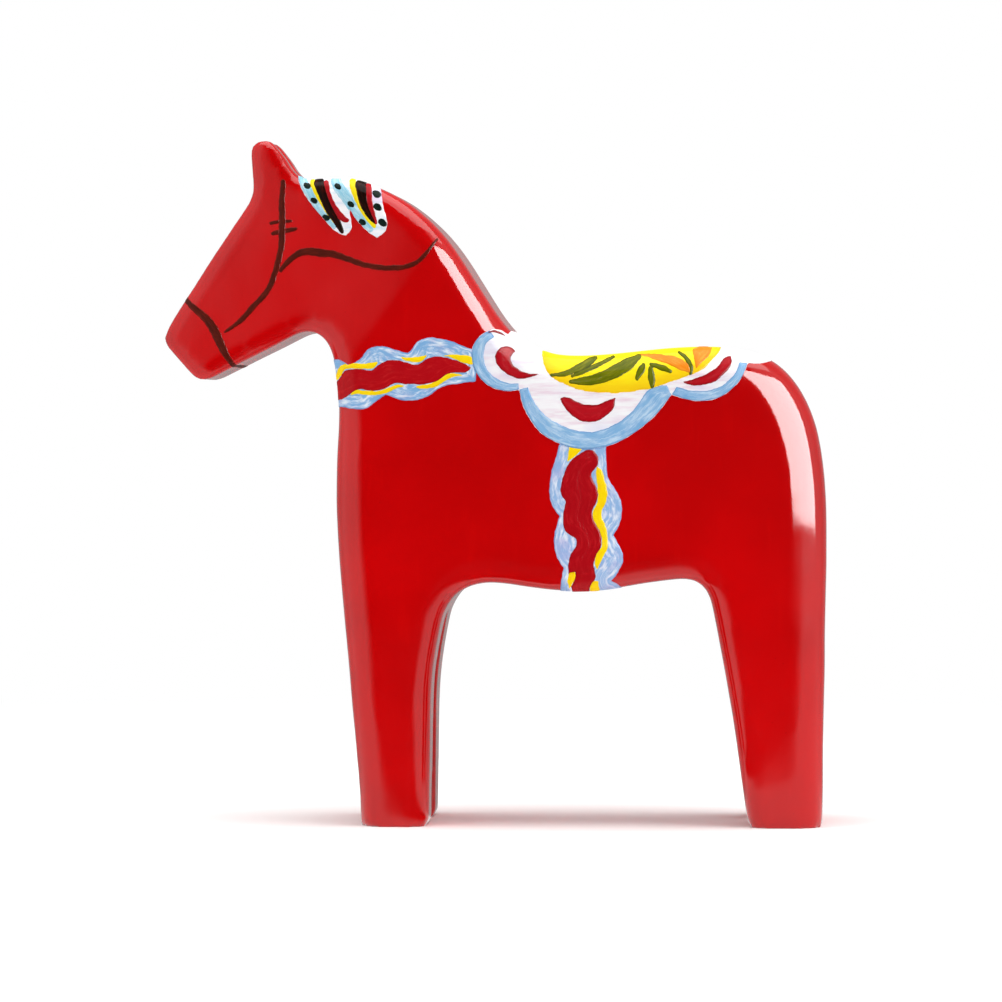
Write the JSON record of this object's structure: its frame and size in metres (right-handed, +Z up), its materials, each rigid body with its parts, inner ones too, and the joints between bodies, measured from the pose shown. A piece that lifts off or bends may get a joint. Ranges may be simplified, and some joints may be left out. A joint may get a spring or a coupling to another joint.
{
  "type": "carved wooden horse figurine",
  "caption": "Hand-carved wooden horse figure with a glossy red coat and a painted harness: mane, bridle, breast collar, saddle and girth. Stands on four flat bare soles.",
  "frame": {"origin": "On the floor plane of the four soles, under the centre of the horse's bounding box.", "axes": "+Z up. The horse faces -X. Its left flank faces -Y and its right flank +Y."},
  "size_m": [0.1258, 0.0402, 0.13],
  "materials": {
    "pine_body": "bare knife-cut pine, seen only at the soles",
    "red_ground_coat": "gloss red ground coat",
    "cheek_strap_stroke": "dark brown gloss stroke",
    "brow_tick_strokes": "dark brown gloss stroke",
    "rein_stroke": "dark brown gloss stroke",
    "noseband_stroke": "dark brown gloss stroke",
    "mane_white_ground": "white gloss paint",
    "mane_blue_strokes": "light blue gloss paint",
    "mane_yellow_strokes": "yellow gloss paint",
    "mane_brown_strokes": "dark brown gloss paint",
    "mane_crimson_strokes": "crimson gloss paint",
    "mane_black_dots": "black gloss paint",
    "saddle_white_ground": "white gloss paint",
    "saddle_blue_border": "light blue gloss paint",
    "saddle_crimson_petals": "crimson gloss paint",
    "saddle_yellow_flower": "yellow gloss paint",
    "saddle_green_strokes": "olive green gloss paint",
    "saddle_orange_strokes": "orange gloss paint",
    "collar_blue_scallops": "light blue gloss paint over white",
    "collar_crimson_centre": "crimson gloss paint",
    "collar_yellow_lines": "yellow gloss paint",
    "girth_blue_edging": "light blue gloss paint over white",
    "girth_crimson_centre": "crimson gloss paint",
    "girth_yellow_lines": "yellow gloss paint"
  },
  "bodies": {
    "root": {"pine_body": "pine_body", "red_ground_coat": "red_ground_coat", "cheek_strap_stroke": "cheek_strap_stroke", "brow_tick_strokes": "brow_tick_strokes", "rein_stroke": "rein_stroke", "noseband_stroke": "noseband_stroke", "mane_white_ground": "mane_white_ground", "mane_blue_strokes": "mane_blue_strokes", "mane_yellow_strokes": "mane_yellow_strokes", "mane_brown_strokes": "mane_brown_strokes", "mane_crimson_strokes": "mane_crimson_strokes", "mane_black_dots": "mane_black_dots", "saddle_white_ground": "saddle_white_ground", "saddle_blue_border": "saddle_blue_border", "saddle_crimson_petals": "saddle_crimson_petals", "saddle_yellow_flower": "saddle_yellow_flower", "saddle_green_strokes": "saddle_green_strokes", "saddle_orange_strokes": "saddle_orange_strokes", "collar_blue_scallops": "collar_blue_scallops", "collar_crimson_centre": "collar_crimson_centre", "collar_yellow_lines": "collar_yellow_lines", "girth_blue_edging": "girth_blue_edging", "girth_crimson_centre": "girth_crimson_centre", "girth_yellow_lines": "girth_yellow_lines"}
  },
  "joints": []
}
